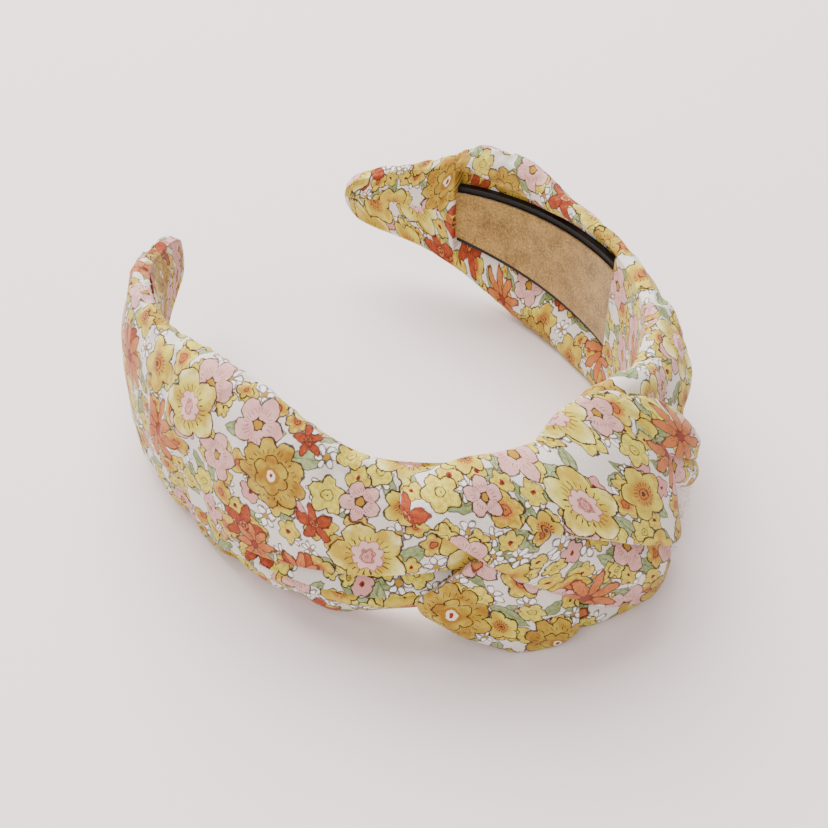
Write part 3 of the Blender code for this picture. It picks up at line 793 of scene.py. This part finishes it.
# Each station of a fold: its top edge, its pleat's lip and its bottom edge as (s, n, z), how far the cloth
# above and below the lip bulges and its back stands off, and the pleat's strength from 0 to 1.
FOLDS = {
    "knot_panel": (
        (-39, 3, 15.6, -38.8, 8.6, 14.4, -38.6, 10.6, 13.2, 0, 0, 0.4, 0),
        (-36.4, 1.8, 17.2, -36.2, 10.4, 15.4, -35.8, 13, 12.4, 0.8, 0.2, 0.8, 0),
        (-31.5, 1.5, 19.2, -31.5, 12, 15.8, -31.4, 14, 10.8, 2, 0.4, 1.6, 0),
        (-25.5, 1.5, 21.6, -26, 13.2, 14.8, -26.8, 15, 6, 3, 0.6, 2.4, 0),
        (-19.5, 1.4, 21.6, -20, 14.8, 12.8, -21.8, 15.8, 0.6, 3.2, 0.8, 3.4, 0),
        (-13.5, 1.4, 21.8, -13.8, 16.4, 11, -17.2, 16.8, -4, 3.6, 1, 4.4, 0.25),
        (-9, 1.5, 22.6, -8, 18, 9, -12.4, 17.8, -8.6, 4.4, 1.4, 5, 0.65),
        (-4.6, 2, 28.4, -2, 19.6, 6, -7, 18.8, -13.6, 5.2, 1.8, 6, 1),
        (1.6, 2.8, 31.4, 4.2, 21, 1.2, -1, 19.4, -20.2, 5.4, 2, 6, 1),
        (8, 4.4, 30.6, 9.4, 21.8, -3.4, 5, 19.8, -24.8, 5, 2.2, 6, 1),
        (12, 7, 27.6, 13.6, 21.6, -6.8, 10.4, 20, -28, 4.4, 2.2, 6, 1),
        (14.8, 9.8, 23.8, 16.8, 20, -8.6, 14.2, 19.4, -28.8, 3.2, 1.8, 5, 1),
        (16, 12, 19, 18.2, 16.6, -8.6, 16.4, 17, -28, 1, 0.8, 2, 0.7),
    ),
    "knot_lower_lobe": (
        (-35.4, 11, -14, -35.6, 11.4, -16, -35, 11.2, -18.4, 0, 0, 0.8, 0),
        (-32.4, 11.6, -10, -32.2, 13, -15, -31, 12.8, -20.6, 0.6, 0.5, 2, 0),
        (-28, 12, -5.2, -28, 14, -13.6, -26.6, 14.6, -23.6, 1, 0.8, 4, 0),
        (-23.8, 11.6, -1.4, -23.4, 14.2, -14, -21.8, 15.2, -26.8, 1.8, 1.5, 5, 0),
        (-19, 12.6, -1.8, -18.6, 15.2, -15.5, -16.8, 16, -30.4, 2, 1.6, 5, 0),
        (-14, 14, -4.8, -13.8, 16.4, -17.5, -12, 17, -30.8, 1.8, 1.4, 5, 0),
        (-9.4, 15.4, -8.6, -9, 17.6, -19.5, -8, 17.8, -30, 1.4, 1.2, 5, 0),
        (-5.8, 16.2, -12.4, -5.6, 18, -20.5, -5.2, 18, -28, 0.8, 0.8, 3, 0),
        (-4.4, 16.6, -15, -4.4, 17.6, -20.8, -4.2, 17.6, -25.6, 0, 0, 1, 0),
    ),
    "knot_upper_lobe": (
        (5, 6, 30, 6, 12, 19, 8, 13, 9, 1, 1, 3, 0),
        (11, 7.5, 29, 12.5, 14, 16, 14, 15, 4, 2.4, 1.6, 5, 0),
        (16.6, 9, 25.6, 18, 16, 11.8, 19, 16.6, 0, 3, 2, 6, 0.5),
        (21.6, 11, 20, 22.6, 17, 7.4, 23, 17.2, -3.4, 3, 2, 6, 0.6),
        (25.6, 13, 13.6, 26, 17.4, 3.6, 26, 17.4, -5.6, 2.4, 1.6, 5, 0.4),
        (28.6, 15, 7, 28.4, 17, 0.6, 28.2, 17, -5.4, 0.6, 0.6, 2, 0),
    ),
    "knot_inner_fold": (
        (8, 10, 0, 9, 14, -10, 8, 15, -22, 1, 1, 3, 0.4),
        (14, 11, 0, 15.4, 15, -11, 14, 15.4, -27.6, 2, 1.6, 5, 1),
        (19, 12, -2.4, 20, 15.6, -13, 18.4, 15.6, -29.4, 2.4, 1.8, 6, 1),
        (23, 13, -6, 23.4, 15.6, -15, 22.2, 15.6, -28.6, 2, 1.4, 5, 0.8),
        (26, 14, -10, 25.8, 15.2, -16.6, 25, 15.4, -24, 0.5, 0.5, 2, 0.2),
    ),
    "knot_under_fold": (
        (-9, 9, -14, -8.6, 12, -21, -8, 13, -28, 1, 1, 2, 0),
        (-2.4, 10, -14, -2, 14.4, -21, -1.6, 16, -30.4, 1.4, 1.2, 4, 0),
        (5, 11, -14, 5.2, 15.6, -21, 5.4, 17.6, -30.8, 1.6, 1.2, 4, 0),
        (12, 12, -15, 12.2, 16.4, -22, 12, 18.8, -30.8, 1.6, 1.2, 4, 0),
        (17, 12.4, -16, 17, 16, -22, 16.8, 17.8, -30, 1.2, 1, 3, 0),
        (20.6, 12.6, -18, 20.4, 14.8, -22.6, 20, 16, -27.6, 0.4, 0.4, 1, 0),
    ),
}
# How each fold's print is turned, in radians, and shifted, in metres, on its cloth.
FOLD_TURNS = {
    "knot_panel": (0, (0.0807, 0.170)),
    "knot_lower_lobe": (-0.3, (0.12, 0.33)),
    "knot_upper_lobe": (0, (0.0771, 0.0959)),
    "knot_inner_fold": (0, (0.074, 0.064)),
    "knot_under_fold": (0.2, (0.62, 0.41)),
}


def fold_grid(name, seed):
    """A flattened strap between two edges, through 11 corners at each station: down its front, over the
    lip and back up behind it, on to the bottom edge, and up its back."""
    stations = np.array(FOLDS[name], float)
    u = np.linspace(0, len(stations) - 1, KNOT_ROWS)
    along = through(np.arange(len(stations)), stations, u)
    top, lip, bottom = along[:, 0:3], along[:, 3:6], along[:, 6:9]
    above, below, back, pleat = (along[:, [k]] for k in (9, 10, 11, 12))
    pleat = np.clip(pleat, 0, 1)

    def across(start, end, share, stand):
        chord = end - start
        length = np.maximum(np.hypot(chord[:, 1], chord[:, 2]), 0.5)
        out = np.stack([0 * length, -chord[:, 2] / length, chord[:, 1] / length], -1)
        return start + chord * share + out * stand

    out, up = np.array([0, 1, 0]), np.array([0, 0, 1])
    corners = [
        top,
        across(top, lip, 0.2, 0.75 * above),
        across(top, lip, 0.5, above),
        across(top, lip, 0.82, 0.6 * above),
        lip + pleat * (1.9 * out - 0.7 * up),
        across(lip, bottom, 0.04, 0) + pleat * (-0.2 * out - 1.6 * up),
        across(lip, bottom, 0.1, 0.3 * below) + pleat * (-4.8 * out + 3 * up),
        across(lip, bottom, 0.34, below) - pleat * 0.8 * out,
        across(lip, bottom, 0.7, below),
        bottom,
        across(bottom, top, 0.12, 0.75 * back),
        across(bottom, top, 0.5, back),
        across(bottom, top, 0.88, 0.75 * back),
    ]
    corners = np.stack(corners, 1)
    section = rounded(corners, KNOT_SPAN_COLUMNS)
    s, n, z = (section[:, :, k] for k in range(3))
    column = np.arange(n.shape[1]) / KNOT_SPAN_COLUMNS
    front = smooth(column / 0.8) * smooth((9 - column) / 0.8)
    waves = 0.5 * ripple(seed, z / 9 + s / 14, s / 16) + 0.25 * ripple(seed + 1, z / 4, s / 7)
    u = u[:, None]
    ends = smooth(u / 0.8) * smooth((u[-1] - u) / 0.8)
    n = n + waves * front * ends
    z = np.maximum(z, FLOOR + FLOOR_GAP)
    close = np.sqrt(1 - (1 - np.clip(np.minimum(u, u[-1] - u) / 0.35, 0, 1)) ** 2)
    close = np.maximum(close, 0.03)
    s, n, z = (x.mean(1, keepdims=True) + (x - x.mean(1, keepdims=True)) * close for x in (s, n, z))
    return band(s, n, z)


STANDS_FOR = {
    "knot_panel": "knot_wrap",
    "knot_lower_lobe": "knot_lower_lobe",
    "knot_upper_lobe": "knot_upper_lobe",
}
for seed, name in enumerate(FOLDS):
    turn, shift = FOLD_TURNS[name]
    fold = cloth(name + "_cloth", fold_grid(name, 20 + 3 * seed), KNOT_MIDDLE * KNOT_SPAN_COLUMNS, turn, shift)
    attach(fold, "crown")
    if name in STANDS_FOR:
        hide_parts(STANDS_FOR[name])

# ------------------------------------------------------------------------------
# The crown sleeve. The cotton drawn round the strip behind the knot: it is seen on the band's inner
# side, where both tubes meet, and above the panel.
# ------------------------------------------------------------------------------

SLEEVE_LENGTHS = (-37, -30, -20, -8, 4, 14, 25, 37)
SLEEVE_TOP = (16.2, 16.6, 18.6, 19.6, 28, 28.5, 24.5, 20)
SLEEVE_BOTTOM = (-24, -26, -28, -28.5, -28.5, -28, -26.5, -25)
SLEEVE_ROWS, SLEEVE_SPAN_COLUMNS, SLEEVE_MIDDLE = 110, 14, 7


def sleeve_grid():
    """Twelve corners round the strip at each arc length, with creases that run across the band."""
    s = np.linspace(SLEEVE_LENGTHS[0], SLEEVE_LENGTHS[-1], SLEEVE_ROWS)
    top, bottom = through(SLEEVE_LENGTHS, SLEEVE_TOP, s), through(SLEEVE_LENGTHS, SLEEVE_BOTTOM, s)
    ones = np.ones_like(s)
    corners = [
        (-3.3 * ones, 0 * ones),
        (-3.4 * ones, -10 * ones),
        (-3.2 * ones, -17 * ones),
        (-2 * ones, bottom + 2),
        (1.5 * ones, bottom),
        (5 * ones, bottom + 4),
        (6.5 * ones, -8 * ones),
        (6.5 * ones, 5 * ones),
        (5.5 * ones, top - 5),
        (2 * ones, top),
        (-1.8 * ones, top - 2),
        (-3.2 * ones, 0.55 * top),
    ]
    corners = np.stack([np.stack(corner, -1) for corner in corners], 1)
    section = rounded(corners, SLEEVE_SPAN_COLUMNS)
    n, z = section[:, :, 0], section[:, :, 1]
    s = s[:, None] + 0 * n
    inner = smooth(-n / 2)
    crease = 0.55 * ripple(51, s / 7, z / 30) + 0.3 * ripple(52, s / 3.4, z / 14)
    n = n - np.abs(crease) * inner
    z = z + 0.5 * ripple(53, s / 6, 0 * s) * smooth((np.abs(z) - 14) / 6)
    return band(s, n, z)


sleeve_middle = SLEEVE_MIDDLE * SLEEVE_SPAN_COLUMNS
sleeve = cloth("crown_sleeve_cloth", sleeve_grid(), sleeve_middle, 0.2, (0.2, 0.7))
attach(sleeve, "crown")
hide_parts("crown_sleeve")

# ------------------------------------------------------------------------------
# The frayed edge. Where the cotton was cut at the right of the knot its threads have come loose: a
# fringe of short fine ends, each a bent three-sided tube.
# ------------------------------------------------------------------------------

THREAD_COUNT, THREAD_RINGS = 170, 6
THREAD_RADIUS = 0.045


def thread_grid():
    """All the loose ends at once. Each starts on the folds' right side and bends as t^2 towards a random
    side: root + out * length * t + side * bend * t^2, in band millimetres."""
    dice = np.random.default_rng(77)
    up = dice.uniform(0, 1, THREAD_COUNT)
    root_z = -7 - 20 * up + dice.normal(0, 0.8, THREAD_COUNT)
    edge_s = through((-29, -22, -12, -4), (22, 24.6, 26, 27.6), root_z)
    root_s = edge_s - 0.6 * dice.uniform(0, 1, THREAD_COUNT)
    root = np.stack([root_s, 15.5 + dice.uniform(-1.5, 2.0, THREAD_COUNT), root_z], -1)
    length = dice.uniform(0.5, 1.9, THREAD_COUNT)[:, None, None]
    way = dice.normal(0, 0.35, (THREAD_COUNT, 3)) + (0.8, 0.6, 0.1)
    way /= np.linalg.norm(way, axis=1, keepdims=True)
    bend = dice.normal(0, 0.4, (THREAD_COUNT, 1, 3))
    t = np.linspace(0, 1, THREAD_RINGS)[None, :, None]
    spine = root[:, None] + way[:, None] * length * t + bend * t * t
    spine = band(spine[..., 0], spine[..., 1], spine[..., 2])
    ring = 2 * np.pi * np.arange(3) / 3
    thin = THREAD_RADIUS * MM * (1 - 0.6 * t[..., None])
    around = np.stack([np.cos(ring), np.sin(ring), 0.6 * np.sin(ring + 1)], -1)
    return spine[:, :, None, :] + thin * around


def thread_mesh(name):
    """The tubes' side faces and their two closing triangles, in one mesh."""
    grid = thread_grid()
    index = np.arange(grid[..., 0].size).reshape(grid.shape[:3])
    ends = np.concatenate([index[:, 0, ::-1], index[:, -1]])
    mesh = bpy.data.meshes.new(name)
    mesh.from_pydata(grid.reshape(-1, 3).tolist(), [], ring_quads(index).tolist() + ends.tolist())
    mesh.shade_smooth()
    return placed(name, mesh)


def loose_thread():
    """Dyed cotton thread, ochre to rust from place to place."""
    finish, shader, start = new_finish("loose_thread", 0.9, 0.2)
    place = start.node("TexCoord", out="Object")
    dye = place.noise(320.0, 1.0)
    shades = (linear(226, 214, 190), linear(206, 150, 70), linear(196, 98, 52))
    stops = tuple(zip((0.38, 0.5, 0.62), shades))
    colour = start.node("ValToRGB", {"stops": stops}, {0: dye})
    feed(start, shader, Base_Color=colour)
    return finish


threads = thread_mesh("frayed_threads")
threads.data.materials.append(loose_thread())
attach(threads, "crown")

# ------------------------------------------------------------------------------
# The table and the light. A plain pale surface, a large soft light high behind the tips and a weaker
# one from the front left, and the camera above the front left.
# ------------------------------------------------------------------------------


def pale_table():
    """A matt off-white sheet with the faintest unevenness."""
    finish, shader, start = new_finish("pale_table", 0.9, 0.2)
    place = start.node("TexCoord", out="Object")
    cloud = place.noise(3.0, 2.0)
    feed(start, shader, Base_Color=cloud.tint(linear(229, 217, 216), linear(232, 220, 219)))
    return finish


TABLE_HALF = 3
mesh = bpy.data.meshes.new("table")
around = ((-1, -1), (1, -1), (1, 1), (-1, 1))
mesh.from_pydata([(x * TABLE_HALF, y * TABLE_HALF, 0) for x, y in around], [], [(0, 1, 2, 3)])
mesh.materials.append(pale_table())
placed("table", mesh)


def soft_light(name, size, power, place, aim, colour):
    """A square area light at a place, turned towards an aim."""
    lamp = bpy.data.lights.new(name, "AREA")
    lamp.size = size
    lamp.energy = power
    lamp.color = colour
    light = placed(name, lamp)
    light.location = place
    towards = np.array(aim) - np.array(place)
    light.rotation_euler = (
        math.atan2(math.hypot(towards[0], towards[1]), -towards[2]),
        0,
        math.atan2(-towards[0], towards[1]),
    )


BAND_MIDDLE = (0, 0, 0.02)
soft_light("window_light", 1.6, 84.0, (0.15, 0.85, 1.3), BAND_MIDDLE, (1.0, 0.985, 0.975))
soft_light("fill_light", 1.4, 17.0, (-0.9, -0.6, 0.9), BAND_MIDDLE, (1.0, 0.98, 0.98))

world = bpy.data.worlds.new("studio")
world.use_nodes = True
sky = world.node_tree.nodes["Background"].inputs
sky["Color"].default_value = (1.0, 0.965, 0.955, 1.0)
sky["Strength"].default_value = 0.6
bpy.context.scene.world = world

camera_data = bpy.data.cameras.new("camera")
camera_data.angle = math.radians(36)
camera = placed("camera", camera_data)
camera.location = (-0.1447, -0.2217, 0.2416)
camera.rotation_euler = (math.radians(49.13), 0, math.radians(-32.97))
bpy.context.scene.camera = camera
